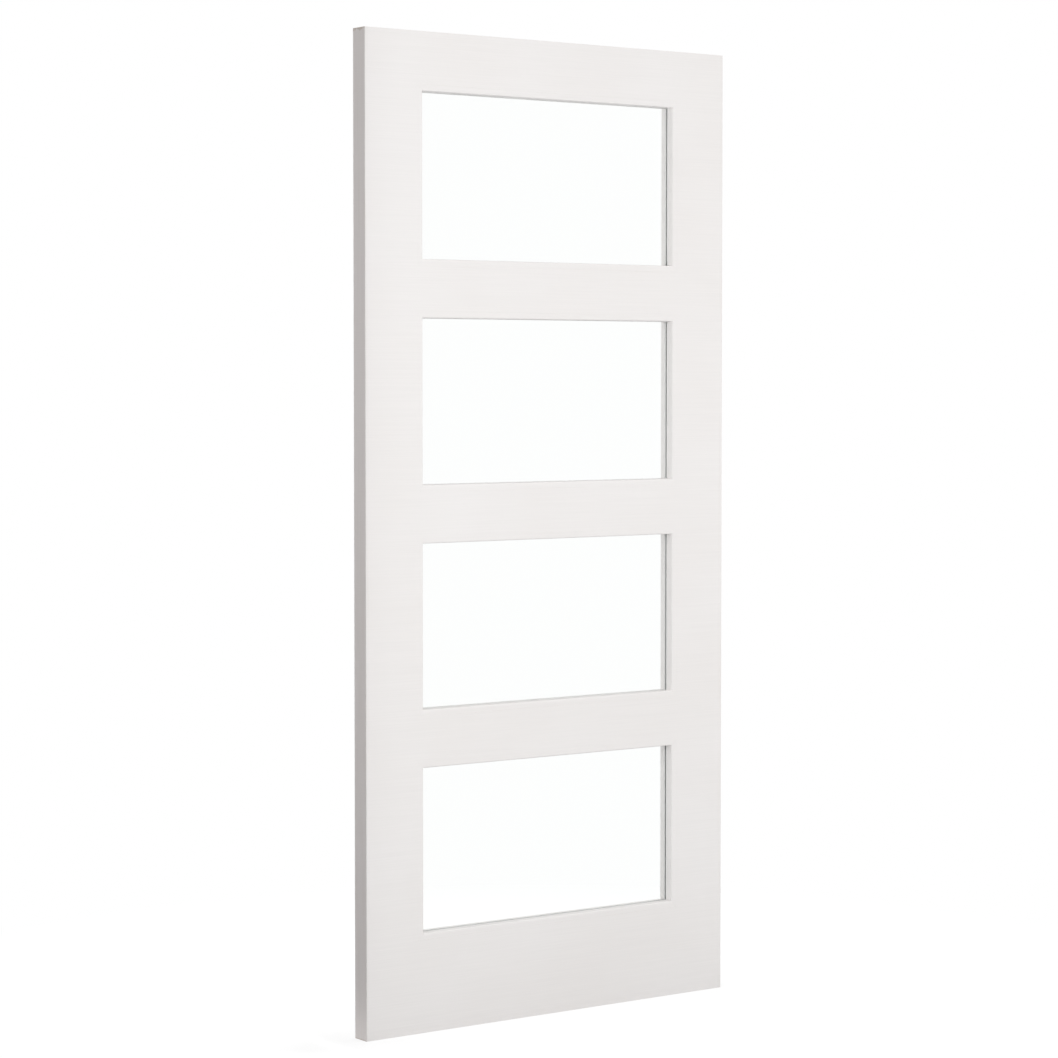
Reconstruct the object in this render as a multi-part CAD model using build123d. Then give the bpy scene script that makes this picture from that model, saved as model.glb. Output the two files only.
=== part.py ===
from build123d import *

import os

# A glazed fire door leaf with four lights, white primed, for a 30 minute rating.
#
# Two stiles run the full height and five rails stand between them. Each of these seven members is a
# timber core with a facing board on both faces. A hardwood lipping closes each long edge. Each light
# holds one pane of fire glass, wrapped at its edge by a channel gasket, and mitred beads grip it from
# both faces.
#
# +Z is up, the front face looks along -Y, and X runs across the leaf from the hanging edge, at x = 0,
# to the lock edge. The middle of the thickness is y = 0 and the foot is z = 0. Sizes are in millimetres.

# The leaf
LEAF_WIDTH = 926.0
LEAF_HEIGHT = 2040.0
LEAF_THICKNESS = 44.0

# The members, each measured to the sight line of the glass beside it
STILE_TO_SIGHT = 140.0
TOP_RAIL_TO_SIGHT = 121.0
CROSS_RAIL_BETWEEN_SIGHTS = 121.0
BOTTOM_RAIL_TO_SIGHT = 206.0
LIGHT_COUNT = 4

# The build-up of a member
FACING_THICKNESS = 4.0
LIPPING_THICKNESS = 8.0
LIPPING_ARRIS_RADIUS = 1.5

# The glazing
GLASS_THICKNESS = 7.0
GLASS_ARRIS = 0.5
GASKET_WALL = 2.0
GASKET_BASE = 3.0
GASKET_SHY_OF_SIGHT = 0.5
BEAD_WIDTH = 14.0
BEAD_SET_BACK = 0.0
BEAD_NOSE_RADIUS = 3.0
BEAD_SPLAY = 1.0
MITRE_GAP = 0.2

# Places and sizes that follow from the driving dimensions
FACE = LEAF_THICKNESS / 2
CORE_FACE = FACE - FACING_THICKNESS
STILE_WIDTH = STILE_TO_SIGHT - BEAD_WIDTH
RAIL_LENGTH = LEAF_WIDTH - 2 * STILE_WIDTH
TOP_RAIL_HEIGHT = TOP_RAIL_TO_SIGHT - BEAD_WIDTH
CROSS_RAIL_HEIGHT = CROSS_RAIL_BETWEEN_SIGHTS - 2 * BEAD_WIDTH
BOTTOM_RAIL_HEIGHT = BOTTOM_RAIL_TO_SIGHT - BEAD_WIDTH
RAIL_HEIGHTS_TOGETHER = TOP_RAIL_HEIGHT + (LIGHT_COUNT - 1) * CROSS_RAIL_HEIGHT + BOTTOM_RAIL_HEIGHT
OPENING_WIDTH = RAIL_LENGTH
OPENING_HEIGHT = (LEAF_HEIGHT - RAIL_HEIGHTS_TOGETHER) / LIGHT_COUNT
LIGHT_PITCH = OPENING_HEIGHT + CROSS_RAIL_HEIGHT
GLASS_FACE = GLASS_THICKNESS / 2
GASKET_FACE = GLASS_FACE + GASKET_WALL
BEAD_FRONT = FACE - BEAD_SET_BACK
BEAD_DEPTH = BEAD_FRONT - GASKET_FACE

CROSS_RAIL_NAMES = ["upper_rail", "middle_rail", "lower_rail"]


def board(width, height, back, front, corner_x, corner_z):
    """A flat board in the plane of the leaf, from its lower left corner, between two depths."""
    outline = Plane.XZ * Pos(corner_x + width / 2, corner_z + height / 2) * Rectangle(width, height)
    return Pos(0, back, 0) * extrude(outline, amount=front - back, dir=(0, 1, 0))


def member(name, width, height, corner_x, corner_z):
    """A stile or rail: its core and the facing boards on both faces."""
    return {
        f"{name}_core": board(width, height, -CORE_FACE, CORE_FACE, corner_x, corner_z),
        f"{name}_front_facing": board(width, height, -FACE, -CORE_FACE, corner_x, corner_z),
        f"{name}_back_facing": board(width, height, CORE_FACE, FACE, corner_x, corner_z),
    }


def lipping(outer_x, outward):
    """The hardwood strip down a long edge. outward is -1 on the hanging edge and 1 on the lock edge."""
    section = Rectangle(LIPPING_THICKNESS, LEAF_THICKNESS)
    outer_corners = section.vertices().sort_by(Axis.X)[-2:]
    section = fillet(outer_corners, LIPPING_ARRIS_RADIUS)
    strip = extrude(section, amount=LEAF_HEIGHT)
    if outward < 0:
        strip = Rot(0, 0, 180) * strip
    return Pos(outer_x - outward * LIPPING_THICKNESS / 2, 0, 0) * strip


def pane():
    """One pane of fire glass with arrised edges, centred on its light."""
    sheet = Box(OPENING_WIDTH - 2 * GASKET_BASE, GLASS_THICKNESS, OPENING_HEIGHT - 2 * GASKET_BASE)
    return chamfer(sheet.edges(), GLASS_ARRIS)


def gasket():
    """The channel that wraps the edge of a pane on all four sides, with mitred corners."""
    lip = BEAD_WIDTH - GASKET_SHY_OF_SIGHT
    ring = Rectangle(OPENING_WIDTH, OPENING_HEIGHT)
    ring -= Rectangle(OPENING_WIDTH - 2 * lip, OPENING_HEIGHT - 2 * lip)
    solid_ring = extrude(Plane.XZ * ring, amount=GASKET_FACE, both=True)
    glass_space = Box(OPENING_WIDTH - 2 * GASKET_BASE, GLASS_THICKNESS, OPENING_HEIGHT - 2 * GASKET_BASE)
    return solid_ring - glass_space


def bead(outer_length):
    """One bead below a light, seen from the front: it lies on the rail at z = 0 and runs along X.

    Its section has a rounded nose at the front and a slight splay that widens it towards the glass.
    """
    nose_z = BEAD_WIDTH - BEAD_SPLAY
    with BuildSketch(Plane.YZ) as section:
        with BuildLine():
            Polyline(
                (-BEAD_FRONT, 0),
                (-GASKET_FACE, 0),
                (-GASKET_FACE, BEAD_WIDTH),
                (-BEAD_FRONT, nose_z),
                close=True,
            )
        make_face()
        nose = section.vertices().sort_by(Axis.Y)[:2].sort_by(Axis.Z)[-1]
        fillet(nose, BEAD_NOSE_RADIUS)
    run = extrude(section.sketch, amount=outer_length / 2, both=True)
    foot = outer_length / 2 - MITRE_GAP
    top = foot - BEAD_WIDTH
    mitres = make_face(Polyline((-foot, 0), (foot, 0), (top, BEAD_WIDTH), (-top, BEAD_WIDTH), close=True))
    return run & extrude(Plane.XZ * mitres, amount=LEAF_THICKNESS, both=True)


def beads(turn):
    """The four beads on one face of a light, centred on it. turn is 0 on the front and 180 on the back."""
    four = []
    for quarter in range(4):
        level = quarter % 2 == 0
        length = OPENING_WIDTH if level else OPENING_HEIGHT
        reach = (OPENING_HEIGHT if level else OPENING_WIDTH) / 2
        four.append(Rot(0, 90 * quarter, 0) * Pos(0, 0, -reach) * bead(length))
    return Rot(0, 0, turn) * Compound(four)


def light_centres():
    """The centres of the lights, from the top one down."""
    highest = LEAF_HEIGHT - TOP_RAIL_HEIGHT - OPENING_HEIGHT / 2
    return [Pos(LEAF_WIDTH / 2, 0, highest - i * LIGHT_PITCH) for i in range(LIGHT_COUNT)]


def leaf():
    """Every piece of the leaf by name."""
    pieces = {}
    core_width = STILE_WIDTH - LIPPING_THICKNESS
    pieces |= member("hanging_stile", core_width, LEAF_HEIGHT, LIPPING_THICKNESS, 0)
    pieces |= member("lock_stile", core_width, LEAF_HEIGHT, LEAF_WIDTH - STILE_WIDTH, 0)
    pieces["hanging_edge_lipping"] = lipping(0, -1)
    pieces["lock_edge_lipping"] = lipping(LEAF_WIDTH, 1)

    top_rail_foot = LEAF_HEIGHT - TOP_RAIL_HEIGHT
    pieces |= member("top_rail", RAIL_LENGTH, TOP_RAIL_HEIGHT, STILE_WIDTH, top_rail_foot)
    for i, name in enumerate(CROSS_RAIL_NAMES):
        foot = top_rail_foot - (i + 1) * LIGHT_PITCH
        pieces |= member(name, RAIL_LENGTH, CROSS_RAIL_HEIGHT, STILE_WIDTH, foot)
    pieces |= member("bottom_rail", RAIL_LENGTH, BOTTOM_RAIL_HEIGHT, STILE_WIDTH, 0)

    for i, centre in enumerate(light_centres()):
        light = f"light_{i + 1}"
        pieces[f"{light}_glass"] = centre * pane()
        pieces[f"{light}_gasket"] = centre * gasket()
        pieces[f"{light}_front_beads"] = centre * beads(0)
        pieces[f"{light}_back_beads"] = centre * beads(180)
    return pieces


os.makedirs("parts", exist_ok=True)
for node, shape in leaf().items():
    export_step(shape, f"parts/{node}.step")
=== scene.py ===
"""A white primed fire door leaf with four clear lights, standing in a white light tent."""

import math

import bpy
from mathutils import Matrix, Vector


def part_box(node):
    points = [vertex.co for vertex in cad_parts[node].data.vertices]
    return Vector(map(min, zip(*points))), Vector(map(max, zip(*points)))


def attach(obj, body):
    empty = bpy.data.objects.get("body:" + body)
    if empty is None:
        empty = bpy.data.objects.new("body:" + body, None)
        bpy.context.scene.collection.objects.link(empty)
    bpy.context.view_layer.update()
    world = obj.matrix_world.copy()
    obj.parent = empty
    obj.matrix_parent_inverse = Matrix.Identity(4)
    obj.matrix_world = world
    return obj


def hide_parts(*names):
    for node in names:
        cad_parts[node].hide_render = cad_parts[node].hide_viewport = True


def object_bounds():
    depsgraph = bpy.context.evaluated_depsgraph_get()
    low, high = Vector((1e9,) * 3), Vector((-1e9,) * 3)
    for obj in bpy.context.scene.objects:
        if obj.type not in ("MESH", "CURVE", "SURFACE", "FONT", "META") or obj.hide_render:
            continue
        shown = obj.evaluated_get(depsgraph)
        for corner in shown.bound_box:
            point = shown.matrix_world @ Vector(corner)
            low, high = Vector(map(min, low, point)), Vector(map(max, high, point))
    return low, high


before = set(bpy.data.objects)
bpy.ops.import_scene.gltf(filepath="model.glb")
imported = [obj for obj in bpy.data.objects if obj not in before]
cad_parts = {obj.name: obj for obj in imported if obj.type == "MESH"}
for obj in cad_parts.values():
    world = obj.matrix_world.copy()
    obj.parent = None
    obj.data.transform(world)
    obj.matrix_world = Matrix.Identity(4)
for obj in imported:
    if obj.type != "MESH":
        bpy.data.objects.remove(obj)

cad_low, cad_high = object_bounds()
MM = 0.001

# The leaf, read from the frame
LEAF_HEIGHT = cad_high.z - cad_low.z
FACE_Y = cad_high.y
MIDDLE = (cad_low + cad_high) / 2
STILES = ["hanging_stile", "lock_stile"]
RAILS = ["top_rail", "upper_rail", "middle_rail", "lower_rail", "bottom_rail"]
LIGHTS = [f"light_{i + 1}" for i in range(4)]

# The beads, as the joiner's shop makes them
BEAD_WIDTH = 14.0 * MM
NOSE_RADIUS = 3.0 * MM
NOSE_FACETS = 6
BEAD_SPLAY = 1.0 * MM
MITRE_GAP = 0.06 * MM
JOINT_EASE = 0.12 * MM

# The lippings
LIPPING_ARRIS_RADIUS = 1.5 * MM
LIPPING_ARRIS_FACETS = 5

# Faces that meet at less than this angle are shaded as one round
ROUND_UP_TO = math.radians(32)

# In all finishes a scale is features a metre along X, Y and Z, and a span is the low and high of a range.
# Most noise lies within the wide span, and the narrow one gives more contrast
WIDE_SPAN = (0.3, 0.7)
NARROW_SPAN = (0.35, 0.65)

# The white primer
PRIMER = (0.850, 0.829, 0.819)
STREAK_DEPTH = 0.035
PRIMER_IN_STREAK = tuple(part * (1 - STREAK_DEPTH) for part in PRIMER)
STREAK_SCALE = (5, 5, 420)
PATCH_SCALE = (3, 3, 4)
PATCH_TINT = (0.985, 0.98, 0.975)
PEEL_SCALE = (700, 700, 700)
PRIMER_ROUGHNESS = (0.46, 0.58)
PRIMER_RELIEF = 0.03 * MM
STREAKS_IN_RELIEF = 0.6
PEEL_IN_RELIEF = 0.4

# The thin coat on the lippings. On the long edges it is tinted a little darker and warmer: partly the thin
# coat's own tone over hardwood, partly painted shade that keeps the edges greyer than the faces. The wood
# ghosts through it a little, and it ends short of the sawn ends
THIN_COAT_AND_EDGE_SHADE = (1.0, 0.971, 0.966)
EDGE_FACING_SPAN = (0.6, 0.95)
GHOST_SCALE = (180, 180, 5)
GHOST_SPAN = (0.45, 0.75)
GHOST_SHARE = 0.06
BARE_TOP = 7.0 * MM
BARE_TOP_FADE = 4.0 * MM
BARE_LEAST = 0.4
RAGGED_SCALE = (90, 90, 30)
BARE_FOOT = 2.5 * MM
BARE_FOOT_FULL = 0.5 * MM
BARE_SHARE = 0.4

# The sawn ends: board, hardwood and core timber
END_FACING_SPAN = (0.7, 0.9)
BOARD_FIBRE_SCALE = (900, 900, 900)
BOARD_DARK = (0.30, 0.19, 0.10)
BOARD_LIGHT = (0.42, 0.29, 0.17)
HARDWOOD_GRAIN_SCALE = (260, 260, 7)
HARDWOOD_RING_SCALE = (60, 160, 2)
HARDWOOD_DARK = (0.27, 0.165, 0.085)
HARDWOOD_LIGHT = (0.47, 0.33, 0.19)
HARDWOOD_RING_TINT = (0.8, 0.76, 0.7)
CORE_DARK = (0.44, 0.30, 0.16)
CORE_LIGHT = (0.63, 0.48, 0.30)
CORE_RING_TINT = (0.78, 0.68, 0.54)
CORE_ROUGHNESS = (0.62, 0.82)
CORE_RELIEF = 0.12 * MM
END_GRAIN_SCALE = (900, 900, 260)
END_SAW_SCALE = (60, 700, 60)
LONG_GRAIN_SCALE = (7, 260, 260)
LONG_RING_SCALE = (3, 90, 90)
LONG_SAW_SCALE = (500, 40, 40)

# The staves of the cores
STAVE_WIDTH = 29.5 * MM
STAVE_TINT = (0.80, 0.76, 0.70)
RING_WIDTH = 2.6 * MM
RING_SPAN = (0.35, 1.0)
RING_WANDER = 1.5
RING_WANDER_SCALE = 0.15
RING_WANDER_DETAIL = 2.0
HEART_ASIDE = 25.0 * MM
HEART_DEPTH = 60.0 * MM
FINGER_PITCH = 0.31
FINGER_LENGTH = 10.0 * MM
FINGER_TOOTH = 6.0 * MM
GLUE_COLOUR = (0.12, 0.075, 0.04)
GLUE_SPAN = (0.15 * MM, 0.4 * MM)
GLUE_SHARE = 0.7

# The gasket and the glass
GASKET_DARK = (0.88, 0.88, 0.87)
GASKET_LIGHT = (0.95, 0.95, 0.94)
GASKET_FUZZ_SCALE = (1500, 1500, 1500)
GASKET_ROUGHNESS = (0.7, 0.9)
GASKET_RELIEF = 0.05 * MM
GLASS_TINT = (0.985, 0.995, 0.99)
GLASS_LETS_THROUGH = (0.95, 0.965, 0.96)
GLASS_IOR = 1.5
GLASS_WAVE_SCALE = (9, 9, 5)
GLASS_WAVE = 0.02 * MM

# The camera, to the left of the leaf, in the photograph's frame of 1058 by 1058 pixels
FRAME_PX = 1058
FOCAL_PX = 3001.6
SENSOR_MM = 36.0
CAMERA_PLACE = (-3.2697, -5.0795, 1.3391)
CAMERA_TURN = math.radians(36.001)
CAMERA_TILT = math.radians(2.271)
CAMERA_SHIFT = -0.03
CAMERA_SEES_TO = 200.0

# The light tent. A bearing is 0 in front of the leaf and 180 behind it
TENT_LEVEL = 0.715
KEY_WATTS = 23.4
FILL_WATTS = 17.2
BACK_LAMP_WATTS = 17.0
SIDE_WATTS = 10.0
TOP_WATTS = 60.0
KEY_BEARING = -38
FILL_BEARING = 50
SIDE_BEARING = 82
LAMP_DISTANCE = 3.0
LAMP_HEIGHT = 1.46
TOP_LAMP_HEIGHT = 5.5
LAMP_SIZE = 1.2
MATT = 0.9

# The black cards beside the long edges
HANGING_FLAG_DISTANCE = 0.08
HANGING_FLAG_WIDTH = 0.133
LOCK_FLAG_DISTANCE = 0.04
LOCK_FLAG_WIDTH = 0.044
FLAG_FOOT = 0.026
FLAG_TOP = LEAF_HEIGHT + 0.12
CARD_BLACK = (0.01, 0.01, 0.01)

# The floor. Its shadow fades from the reach outwards, and from further out it is plain white
FLOOR_SIZE = 6.0
FLOOR_PALENESS = (0.62, 0.62, 0.62)
FLOOR_SHADE = (0.26, 0.26, 0.26)
FLOOR_GLOW = 0.755
SHADOW_REACH = 0.7
FLOOR_PLAIN_FROM = 1.6


# Hands on the mesh

def start_piece():
    """Nothing stays selected from the piece before."""
    if bpy.context.object and bpy.context.object.mode != "OBJECT":
        bpy.ops.object.mode_set(mode="OBJECT")
    bpy.ops.object.select_all(action="DESELECT")


def take_up(piece):
    """Makes the piece the one that is selected and worked on."""
    start_piece()
    piece.select_set(True)
    bpy.context.view_layer.objects.active = piece


def block(name, low, high):
    """A squared block between two corners, its place in its mesh."""
    start_piece()
    low, high = Vector(low), Vector(high)
    bpy.ops.mesh.primitive_cube_add(size=1, location=(low + high) / 2, scale=high - low)
    piece = bpy.context.object
    piece.name = piece.data.name = name
    bpy.ops.object.transform_apply(location=True, rotation=True, scale=True)
    return piece


def near(a, b, within=0.01 * MM):
    return abs(a - b) < within


def pick_edges(piece, wanted):
    """In edit mode, selects the edges whose middle passes the test, and nothing else."""
    bpy.ops.object.mode_set(mode="EDIT")
    bpy.ops.mesh.select_mode(type="EDGE")
    bpy.ops.mesh.select_all(action="DESELECT")
    bpy.ops.object.mode_set(mode="OBJECT")
    points = piece.data.vertices
    for edge in piece.data.edges:
        a, b = (points[i].co for i in edge.vertices)
        edge.select = wanted((a + b) / 2)
    bpy.ops.object.mode_set(mode="EDIT")


def shift_edges(piece, wanted, shift):
    """Moves the edges that pass the test."""
    pick_edges(piece, wanted)
    bpy.ops.transform.translate(value=shift)
    bpy.ops.object.mode_set(mode="OBJECT")


def round_edges(piece, wanted, radius, facets):
    """Rounds the edges that pass the test."""
    pick_edges(piece, wanted)
    bpy.ops.mesh.bevel(offset=radius, offset_type="OFFSET", segments=facets, profile=0.5, affect="EDGES")
    bpy.ops.object.mode_set(mode="OBJECT")


def saw_off(point, outward):
    """Cuts the piece in hand at a plane and keeps the side that outward points away from."""
    bpy.ops.object.mode_set(mode="EDIT")
    bpy.ops.mesh.select_all(action="SELECT")
    bpy.ops.mesh.bisect(plane_co=point, plane_no=outward, use_fill=True, clear_outer=True)
    bpy.ops.object.mode_set(mode="OBJECT")


def move_points(piece, turn, axis, shift=(0, 0, 0)):
    """Turns every point about the origin, and then shifts it. The object itself stays put."""
    take_up(piece)
    bpy.ops.object.mode_set(mode="EDIT")
    bpy.ops.mesh.select_all(action="SELECT")
    bpy.ops.transform.rotate(value=turn, orient_axis=axis, center_override=(0, 0, 0))
    bpy.ops.transform.translate(value=shift)
    bpy.ops.object.mode_set(mode="OBJECT")


def finish_piece(piece, material):
    """Smooth shading over the rounds, its material, and its body."""
    take_up(piece)
    bpy.ops.object.shade_smooth_by_angle(angle=ROUND_UP_TO)
    piece.data.materials.clear()
    piece.data.materials.append(material)
    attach(piece, "root")


# Hands on the finishes

def mix_shaders(nodes, links, share, first, second):
    """Two shaders mixed by a share."""
    mix = nodes.new("ShaderNodeMixShader")
    for source, socket in zip((share, first, second), mix.inputs):
        links.new(source, socket)
    return mix.outputs[0]


def seen_directly(nodes, links):
    """1 for what the eye sees straight, in a reflection or through glass, and 0 for light on its way."""
    path = nodes.new("ShaderNodeLightPath")
    seen = path.outputs["Is Camera Ray"]
    for other in ("Is Glossy Ray", "Is Transmission Ray"):
        either = nodes.new("ShaderNodeMath")
        either.operation = "MAXIMUM"
        links.new(seen, either.inputs[0])
        links.new(path.outputs[other], either.inputs[1])
        seen = either.outputs[0]
    return seen


class Finish:
    """One material: the plain shader, and the nodes that give it colour, roughness and relief."""

    def __init__(self, name):
        self.material = bpy.data.materials.new(name)
        self.material.use_nodes = True
        self.nodes = self.material.node_tree.nodes
        self.links = self.material.node_tree.links
        self.shader = self.nodes["Principled BSDF"]
        self.place = self.nodes.new("ShaderNodeTexCoord").outputs["Object"]

    def join(self, source, target):
        self.links.new(source, target)

    def colour(self, source):
        self.join(source, self.shader.inputs["Base Color"])

    def roughness(self, source):
        self.join(source, self.shader.inputs["Roughness"])

    def surface(self, height, depth):
        """Relief of that depth in metres."""
        bump = self.nodes.new("ShaderNodeBump")
        bump.inputs["Distance"].default_value = depth
        self.join(height, bump.inputs["Height"])
        self.join(bump.outputs["Normal"], self.shader.inputs["Normal"])

    def show(self, shader):
        """Shows another shader than the plain one."""
        self.join(shader, self.nodes["Material Output"].inputs["Surface"])

    def noise(self, scale, detail=3.0, roughness=0.5):
        """Soft noise with that many features a metre along each axis."""
        mapping = self.nodes.new("ShaderNodeMapping")
        mapping.inputs["Scale"].default_value = scale
        self.join(self.place, mapping.inputs["Vector"])
        texture = self.nodes.new("ShaderNodeTexNoise")
        texture.inputs["Scale"].default_value = 1.0
        texture.inputs["Detail"].default_value = detail
        texture.inputs["Roughness"].default_value = roughness
        self.join(mapping.outputs["Vector"], texture.inputs["Vector"])
        return texture.outputs["Fac"]

    def spread(self, value, low, high, to_low=0.0, to_high=1.0):
        """Maps a range of values to another, and holds it there."""
        node = self.nodes.new("ShaderNodeMapRange")
        node.inputs["From Min"].default_value = low
        node.inputs["From Max"].default_value = high
        node.inputs["To Min"].default_value = to_low
        node.inputs["To Max"].default_value = to_high
        self.join(value, node.inputs["Value"])
        return node.outputs["Result"]

    def figure(self, first, kind, second=0.0):
        """A sum, a product or the like. Each side is a number or a socket."""
        node = self.nodes.new("ShaderNodeMath")
        node.operation = kind
        for socket, value in zip(node.inputs, (first, second)):
            if isinstance(value, (int, float)):
                socket.default_value = value
            else:
                self.join(value, socket)
        return node.outputs["Value"]

    def blend(self, share, first, second, kind="MIX"):
        """Two colours mixed by a share. Each is a colour or a socket."""
        node = self.nodes.new("ShaderNodeMix")
        node.data_type = "RGBA"
        node.blend_type = kind
        self.join(share, node.inputs["Factor"])
        for socket, value in ((node.inputs["A"], first), (node.inputs["B"], second)):
            if isinstance(value, tuple):
                socket.default_value = (*value, 1.0)
            else:
                self.join(value, socket)
        return node.outputs["Result"]

    def tinted(self, tone, tint, share):
        """A tone, darkened by a tint as far as the share goes."""
        return self.blend(share, tone, tint, "MULTIPLY")

    def part_of(self, vector, axis):
        split = self.nodes.new("ShaderNodeSeparateXYZ")
        self.join(vector, split.inputs["Vector"])
        return split.outputs[axis]

    def along(self, axis):
        """The place along one axis, in metres."""
        return self.part_of(self.place, axis)

    def facing(self, axis, span):
        """1 where the surface faces along an axis, either way, and 0 where it faces across it."""
        normal = self.nodes.new("ShaderNodeNewGeometry").outputs["True Normal"]
        return self.spread(self.figure(self.part_of(normal, axis), "ABSOLUTE"), *span)


# The camera and the light tent

def stand_camera():
    turn = (math.radians(90) - CAMERA_TILT, 0, -CAMERA_TURN)
    bpy.ops.object.camera_add(location=CAMERA_PLACE, rotation=turn)
    camera = bpy.context.object
    camera.name = "camera"
    camera.data.sensor_width = SENSOR_MM
    camera.data.lens = FOCAL_PX / FRAME_PX * SENSOR_MM
    camera.data.shift_y = CAMERA_SHIFT
    camera.data.clip_end = CAMERA_SEES_TO
    bpy.context.scene.camera = camera


def hang_tent():
    """White all round, with less light in it than it shows."""
    world = bpy.data.worlds.new("light tent")
    bpy.context.scene.world = world
    world.use_nodes = True
    nodes, links = world.node_tree.nodes, world.node_tree.links
    lit = nodes["Background"]
    lit.inputs["Color"].default_value = (1, 1, 1, 1)
    lit.inputs["Strength"].default_value = TENT_LEVEL
    shown = nodes.new("ShaderNodeBackground")
    shown.inputs["Color"].default_value = (1, 1, 1, 1)
    shown.inputs["Strength"].default_value = 1.0
    tent = mix_shaders(nodes, links, seen_directly(nodes, links), lit.outputs[0], shown.outputs[0])
    links.new(tent, nodes["World Output"].inputs["Surface"])


def keep_unseen(thing):
    """It works on the light, and neither it nor its reflection shows."""
    thing.visible_camera = False
    thing.visible_glossy = False
    thing.visible_transmission = False


def hang_lamp(name, place, turn, watts):
    """A square soft box."""
    bpy.ops.object.light_add(type="AREA", location=place, rotation=turn)
    lamp = bpy.context.object
    lamp.name = name
    lamp.data.shape = "SQUARE"
    lamp.data.size = LAMP_SIZE
    lamp.data.energy = watts
    keep_unseen(lamp)


def stand_lamp(name, bearing, watts):
    """A soft box that looks level at the leaf."""
    angle = math.radians(bearing)
    middle = Vector((MIDDLE.x, MIDDLE.y, LAMP_HEIGHT))
    away = Vector((math.sin(angle), -math.cos(angle), 0))
    hang_lamp(name, middle + away * LAMP_DISTANCE, away.to_track_quat("Z", "Y").to_euler(), watts)


def hang_top_lamp():
    """A soft box over the leaf, for the sills inside the lights and the sawn top."""
    hang_lamp("top_softbox", (MIDDLE.x, MIDDLE.y, TOP_LAMP_HEIGHT), (0, 0, 0), TOP_WATTS)


def card_finish():
    """Matt black card."""
    finish = Finish("black card")
    finish.shader.inputs["Base Color"].default_value = (*CARD_BLACK, 1)
    finish.shader.inputs["Roughness"].default_value = MATT
    return finish.material


def stand_flag(name, x, width, material):
    """A black card beside a long edge, which keeps the edge greyer than the faces."""
    start_piece()
    place = (x, 0, (FLAG_FOOT + FLAG_TOP) / 2)
    bpy.ops.mesh.primitive_plane_add(size=1, location=place, rotation=(0, math.radians(90), 0))
    flag = bpy.context.object
    flag.name = name
    flag.scale = (FLAG_TOP - FLAG_FOOT, width, 1)
    flag.data.materials.append(material)
    keep_unseen(flag)


def floor_finish():
    """Pale and matt in the light. It shows white, with a soft shadow that fades out away from the leaf."""
    finish = Finish("pale floor")
    lit = finish.shader
    lit.inputs["Base Color"].default_value = (*FLOOR_PALENESS, 1)
    lit.inputs["Roughness"].default_value = MATT
    lit.inputs["Specular IOR Level"].default_value = 0.0
    shade = finish.nodes.new("ShaderNodeBsdfDiffuse")
    shade.inputs["Color"].default_value = (*FLOOR_SHADE, 1)
    glow = finish.nodes.new("ShaderNodeEmission")
    glow.inputs["Strength"].default_value = FLOOR_GLOW
    shadowed = finish.nodes.new("ShaderNodeAddShader")
    finish.join(shade.outputs[0], shadowed.inputs[0])
    finish.join(glow.outputs[0], shadowed.inputs[1])
    distance = finish.nodes.new("ShaderNodeVectorMath")
    distance.operation = "LENGTH"
    finish.join(finish.place, distance.inputs[0])
    far = finish.spread(distance.outputs["Value"], SHADOW_REACH, FLOOR_PLAIN_FROM)
    plain = finish.nodes.new("ShaderNodeEmission")
    nodes, links = finish.nodes, finish.links
    shown = mix_shaders(nodes, links, far, shadowed.outputs[0], plain.outputs[0])
    finish.show(mix_shaders(nodes, links, seen_directly(nodes, links), lit.outputs[0], shown))
    return finish.material


def lay_floor():
    start_piece()
    bpy.ops.mesh.primitive_plane_add(size=FLOOR_SIZE, location=(MIDDLE.x, MIDDLE.y, cad_low.z))
    floor = bpy.context.object
    floor.name = "floor"
    floor.data.materials.append(floor_finish())


# The finishes of the leaf

def streaked_primer(finish):
    """Sprayed white primer, sanded level: a tone with faint level streaks, and its relief."""
    streaks = finish.noise(STREAK_SCALE, detail=5, roughness=0.65)
    patches = finish.noise(PATCH_SCALE, detail=2)
    peel = finish.noise(PEEL_SCALE, detail=2)
    finish.roughness(finish.spread(streaks, *WIDE_SPAN, *PRIMER_ROUGHNESS))
    streak_relief = finish.figure(streaks, "MULTIPLY", STREAKS_IN_RELIEF)
    peel_relief = finish.figure(peel, "MULTIPLY", PEEL_IN_RELIEF)
    finish.surface(finish.figure(streak_relief, "ADD", peel_relief), PRIMER_RELIEF)
    tone = finish.blend(finish.spread(streaks, *WIDE_SPAN), PRIMER_IN_STREAK, PRIMER)
    return finish.tinted(tone, PATCH_TINT, finish.spread(patches, *NARROW_SPAN))


def on_sawn_ends(finish):
    """1 on the sawn top and bottom ends of the leaf, and 0 on its faces and edges."""
    return finish.facing("Z", END_FACING_SPAN)


def facing_finish():
    """Primed fibreboard. Its 4 mm edge at the top and bottom of the leaf is bare and brown."""
    finish = Finish("white primer on the facings")
    fibres = finish.noise(BOARD_FIBRE_SCALE, detail=3, roughness=0.7)
    bare = finish.blend(finish.spread(fibres, *WIDE_SPAN), BOARD_DARK, BOARD_LIGHT)
    finish.colour(finish.blend(on_sawn_ends(finish), streaked_primer(finish), bare))
    return finish.material


def bead_finish():
    """The same primer on the beads, which the shop sprays with the leaf."""
    finish = Finish("white primer on the beads")
    finish.colour(streaked_primer(finish))
    return finish.material


def hardwood(finish):
    """Light brown hardwood with upright grain: long on the edge, and pores on the sawn ends."""
    grain = finish.noise(HARDWOOD_GRAIN_SCALE, detail=6, roughness=0.7)
    rings = finish.noise(HARDWOOD_RING_SCALE, detail=3)
    tone = finish.blend(finish.spread(grain, *NARROW_SPAN), HARDWOOD_DARK, HARDWOOD_LIGHT)
    return finish.tinted(tone, HARDWOOD_RING_TINT, finish.spread(rings, *WIDE_SPAN))


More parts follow.
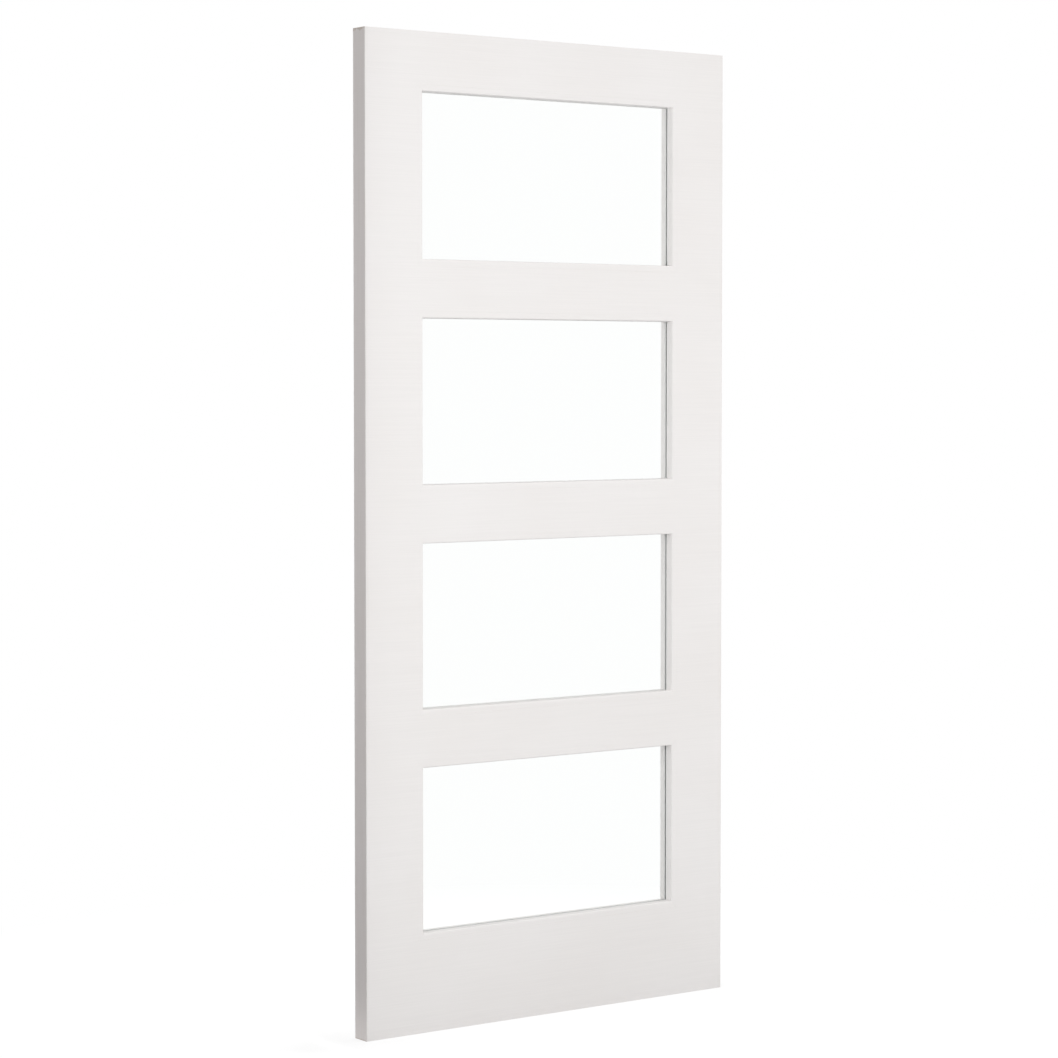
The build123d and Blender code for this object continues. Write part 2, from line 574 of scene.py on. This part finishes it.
def bare_share(finish, on_edge):
    """How bare a lipping is: all of its sawn ends, and part of its edge close to them."""
    height = finish.along("Z")
    ragged = finish.spread(finish.noise(RAGGED_SCALE, detail=3), *WIDE_SPAN, 0.0, BARE_TOP)
    bare_from = finish.figure(LEAF_HEIGHT - BARE_TOP * BARE_LEAST, "SUBTRACT", ragged)
    above = finish.figure(height, "SUBTRACT", bare_from)
    top = finish.spread(above, 0.0, BARE_TOP_FADE, 0.0, BARE_SHARE)
    foot = finish.spread(height, BARE_FOOT_FULL, BARE_FOOT, BARE_SHARE, 0.0)
    edge = finish.figure(finish.figure(top, "MAXIMUM", foot), "MULTIPLY", on_edge)
    return finish.figure(edge, "MAXIMUM", on_sawn_ends(finish))


def lipping_finish():
    """Hardwood under a thin coat of primer, which runs out just short of the sawn ends. On the long edges
    the coat is a little darker: partly its own tone, partly painted shade.
    """
    finish = Finish("thin primer on the lippings")
    on_edge = finish.facing("X", EDGE_FACING_SPAN)
    wood = hardwood(finish)
    # On the long edges the primer takes a darker, warmer tint: partly the thin coat's own tone, partly
    # painted shade that keeps the edges greyer than the faces
    coat_and_edge_shade = finish.tinted(streaked_primer(finish), THIN_COAT_AND_EDGE_SHADE, on_edge)
    ghost = finish.spread(finish.noise(GHOST_SCALE, detail=4), *GHOST_SPAN, 0.0, GHOST_SHARE)
    coat_and_edge_shade = finish.blend(ghost, coat_and_edge_shade, wood)
    finish.colour(finish.blend(bare_share(finish, on_edge), coat_and_edge_shade, wood))
    return finish.material


def growth_rings(finish, number, chance):
    """Rings on the sawn end of an upright stave, round a heart that lies elsewhere for every stave."""
    middle = finish.figure(finish.figure(number, "ADD", 0.5), "MULTIPLY", STAVE_WIDTH)
    aside = finish.spread(finish.part_of(chance, "X"), 0.0, 1.0, -HEART_ASIDE, HEART_ASIDE)
    depth = finish.spread(finish.part_of(chance, "Y"), 0.0, 1.0, -HEART_DEPTH, HEART_DEPTH)
    heart = finish.nodes.new("ShaderNodeCombineXYZ")
    finish.join(finish.figure(middle, "ADD", aside), heart.inputs["X"])
    finish.join(depth, heart.inputs["Y"])
    finish.join(finish.along("Z"), heart.inputs["Z"])
    from_heart = finish.nodes.new("ShaderNodeVectorMath")
    from_heart.operation = "SUBTRACT"
    finish.join(finish.place, from_heart.inputs[0])
    finish.join(heart.outputs["Vector"], from_heart.inputs[1])
    rings = finish.nodes.new("ShaderNodeTexWave")
    rings.wave_type = "RINGS"
    rings.rings_direction = "Z"
    rings.wave_profile = "SAW"
    # At a scale of 1 this texture has 20 rings in 2 pi metres
    rings.inputs["Scale"].default_value = 2 * math.pi / (20 * RING_WIDTH)
    rings.inputs["Distortion"].default_value = RING_WANDER
    rings.inputs["Detail"].default_value = RING_WANDER_DETAIL
    rings.inputs["Detail Scale"].default_value = RING_WANDER_SCALE
    finish.join(from_heart.outputs["Vector"], rings.inputs["Vector"])
    return finish.spread(rings.outputs["Fac"], *RING_SPAN)


def numbered_staves(finish, place):
    """The number of the stave at a place counted in staves, and a chance colour and value for it."""
    number = finish.figure(place, "FLOOR")
    chance = finish.nodes.new("ShaderNodeTexWhiteNoise")
    chance.noise_dimensions = "1D"
    finish.join(number, chance.inputs["W"])
    return number, chance.outputs["Color"], chance.outputs["Value"]


def glued_staves(finish, grain_scale, saw_scale, rings, darker, place, step):
    """Bare glued timber. Each stave is darker by its own share, with a glue line at every joint."""
    grain = finish.noise(grain_scale, detail=6, roughness=0.7)
    tone = finish.blend(finish.spread(grain, *WIDE_SPAN), CORE_DARK, CORE_LIGHT)
    tone = finish.tinted(tone, CORE_RING_TINT, rings)
    tone = finish.tinted(tone, STAVE_TINT, darker)
    from_joint = finish.figure(finish.figure(place, "PINGPONG", 0.5), "MULTIPLY", step)
    glue = finish.spread(from_joint, *GLUE_SPAN, GLUE_SHARE, 0.0)
    finish.colour(finish.blend(glue, tone, GLUE_COLOUR))
    finish.roughness(finish.spread(grain, *WIDE_SPAN, *CORE_ROUGHNESS))
    saw = finish.noise(saw_scale, detail=2)
    finish.surface(finish.figure(grain, "ADD", saw), CORE_RELIEF)


def stile_core_finish():
    """The sawn ends of upright staves, side by side, each with its own growth rings."""
    finish = Finish("sawn ends of the stile cores")
    place = finish.figure(finish.along("X"), "DIVIDE", STAVE_WIDTH)
    number, chance, darker = numbered_staves(finish, place)
    rings = growth_rings(finish, number, chance)
    glued_staves(finish, END_GRAIN_SCALE, END_SAW_SCALE, rings, darker, place, STAVE_WIDTH)
    return finish.material


def rail_core_finish():
    """The sawn edges of staves that lie along the rails, end to end in finger joints."""
    finish = Finish("sawn edges of the rail cores")
    tooth = finish.figure(finish.along("Y"), "PINGPONG", FINGER_TOOTH / 2)
    finger = finish.figure(tooth, "MULTIPLY", FINGER_LENGTH * 2 / FINGER_TOOTH)
    place = finish.figure(finish.figure(finish.along("X"), "ADD", finger), "DIVIDE", FINGER_PITCH)
    darker = numbered_staves(finish, place)[-1]
    rings = finish.spread(finish.noise(LONG_RING_SCALE, detail=3, roughness=0.6), *NARROW_SPAN)
    glued_staves(finish, LONG_GRAIN_SCALE, LONG_SAW_SCALE, rings, darker, place, FINGER_PITCH)
    return finish.material


def gasket_finish():
    """Off-white fibre gasket, matt and slightly fuzzy."""
    finish = Finish("glazing gasket")
    fuzz = finish.noise(GASKET_FUZZ_SCALE, detail=3, roughness=0.7)
    finish.colour(finish.blend(finish.spread(fuzz, *WIDE_SPAN), GASKET_DARK, GASKET_LIGHT))
    finish.roughness(finish.spread(fuzz, *WIDE_SPAN, *GASKET_ROUGHNESS))
    finish.surface(fuzz, GASKET_RELIEF)
    return finish.material


def glass_finish():
    """Clear fire glass, faintly green, with the slight wave of drawn sheet. It lets the lamps through."""
    finish = Finish("clear fire glass")
    shader = finish.shader
    shader.inputs["Base Color"].default_value = (*GLASS_TINT, 1)
    shader.inputs["Roughness"].default_value = 0.0
    shader.inputs["IOR"].default_value = GLASS_IOR
    shader.inputs["Transmission Weight"].default_value = 1.0
    finish.surface(finish.noise(GLASS_WAVE_SCALE, detail=1), GLASS_WAVE)
    through = finish.nodes.new("ShaderNodeBsdfTransparent")
    through.inputs["Color"].default_value = (*GLASS_LETS_THROUGH, 1)
    lamp_ray = finish.nodes.new("ShaderNodeLightPath").outputs["Is Shadow Ray"]
    clear = mix_shaders(finish.nodes, finish.links, lamp_ray, shader.outputs[0], through.outputs[0])
    finish.show(clear)
    return finish.material


# The pieces that are modelled here

def cut_bead(name, run, reach, depth):
    """The bead at the foot of a light that is centred on the origin: splayed, rounded, eased and mitred.

    run is half its length, and reach is how far below the origin its outer side lies.
    """
    front_y = -FACE_Y
    top_z = BEAD_WIDTH - reach
    nose_z = top_z - BEAD_SPLAY
    bead = block(name, (-run, front_y, -reach), (run, front_y + depth, top_z))
    shift_edges(bead, lambda at: near(at.y, front_y) and near(at.z, top_z), (0, 0, -BEAD_SPLAY))
    round_edges(bead, lambda at: near(at.y, front_y) and near(at.z, nose_z), NOSE_RADIUS, NOSE_FACETS)
    round_edges(bead, lambda at: near(at.y, front_y) and near(at.z, -reach), JOINT_EASE, facets=1)
    for end in (-1, 1):
        saw_off(Vector((end * (run - MITRE_GAP), 0, -reach)), Vector((end, 0, 1)).normalized())
    return bead


def make_beads(light, face, turn, material):
    """The four mitred beads on one face of a light, turned and set round it."""
    node = f"{light}_{face}_beads"
    low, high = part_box(node)
    centre = (low + high) / 2
    width, depth, height = high - low
    four = []
    for quarter in range(4):
        length, across = (width, height) if quarter % 2 == 0 else (height, width)
        bead = cut_bead(node, length / 2, across / 2, depth)
        move_points(bead, quarter * math.pi / 2, "Y")
        four.append(bead)
    take_up(four[0])
    for bead in four[1:]:
        bead.select_set(True)
    bpy.ops.object.join()
    beads = bpy.context.object
    beads.name = beads.data.name = f"{light}_{face}_bead_set"
    move_points(beads, turn, "Z", shift=(centre.x, 0, centre.z))
    finish_piece(beads, material)
    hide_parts(node)


def make_lipping(node, outer_x, material):
    """The strip down a long edge, with its two outer arrises rounded."""
    low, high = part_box(node)
    strip = block(node.replace("lipping", "strip"), low, high)
    round_edges(
        strip,
        lambda at: near(at.x, outer_x) and near(at.z, MIDDLE.z),
        LIPPING_ARRIS_RADIUS,
        LIPPING_ARRIS_FACETS,
    )
    finish_piece(strip, material)
    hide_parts(node)


bpy.context.scene.view_settings.view_transform = "Standard"
stand_camera()
hang_tent()
stand_lamp("key_softbox", KEY_BEARING, KEY_WATTS)
stand_lamp("fill_softbox", FILL_BEARING, FILL_WATTS)
stand_lamp("left_softbox", -SIDE_BEARING, SIDE_WATTS)
hang_top_lamp()
stand_lamp("back_left_softbox", KEY_BEARING + 180, BACK_LAMP_WATTS)
stand_lamp("back_right_softbox", 180 - KEY_BEARING, BACK_LAMP_WATTS)
card = card_finish()
stand_flag("hanging_edge_flag", cad_low.x - HANGING_FLAG_DISTANCE, HANGING_FLAG_WIDTH, card)
stand_flag("lock_edge_flag", cad_high.x + LOCK_FLAG_DISTANCE, LOCK_FLAG_WIDTH, card)
lay_floor()

facing_primer = facing_finish()
for members, core in ((STILES, stile_core_finish()), (RAILS, rail_core_finish())):
    for member in members:
        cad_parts[f"{member}_core"].data.materials[0] = core
        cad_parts[f"{member}_front_facing"].data.materials[0] = facing_primer
        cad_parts[f"{member}_back_facing"].data.materials[0] = facing_primer

glass = glass_finish()
gasket = gasket_finish()
bead_primer = bead_finish()
for light in LIGHTS:
    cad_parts[f"{light}_glass"].data.materials[0] = glass
    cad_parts[f"{light}_gasket"].data.materials[0] = gasket
    make_beads(light, "front", 0, bead_primer)
    make_beads(light, "back", math.pi, bead_primer)

lipping_primer = lipping_finish()
make_lipping("hanging_edge_lipping", cad_low.x, lipping_primer)
make_lipping("lock_edge_lipping", cad_high.x, lipping_primer)

start_piece()
